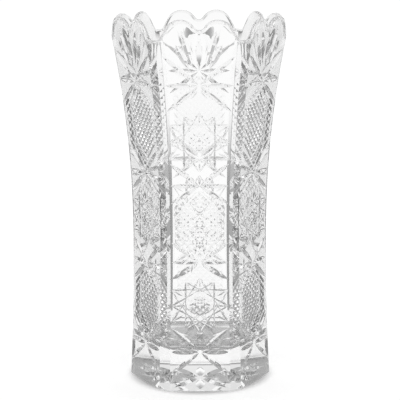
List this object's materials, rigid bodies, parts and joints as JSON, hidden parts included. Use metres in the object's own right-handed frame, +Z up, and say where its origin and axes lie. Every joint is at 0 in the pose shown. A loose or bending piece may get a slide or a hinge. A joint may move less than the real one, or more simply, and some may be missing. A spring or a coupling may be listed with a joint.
{
  "type": "cut crystal vase",
  "caption": "Tall waisted crystal vase on a six-sided plan with mitre-cut star and fan panels, plain corner pillars, a scalloped rim and a thick solid foot.",
  "frame": {"origin": "middle of the flat underside of the foot", "axes": "+Z up along the vase's axis to the rim; -Y is the front, the middle of one decorated panel; +X is to the right seen from the front, the middle of a plain pillar"},
  "size_m": [0.1422, 0.134, 0.3],
  "materials": {
    "crystal": "clear polished crystal, no tint"
  },
  "bodies": {
    "root": {"foot_block": "crystal", "panel_front": "crystal", "panel_front_right": "crystal", "panel_rear_right": "crystal", "panel_rear": "crystal", "panel_rear_left": "crystal", "panel_front_left": "crystal", "pillar_front_right": "crystal", "pillar_right": "crystal", "pillar_rear_right": "crystal", "pillar_rear_left": "crystal", "pillar_left": "crystal", "pillar_front_left": "crystal"}
  },
  "joints": []
}
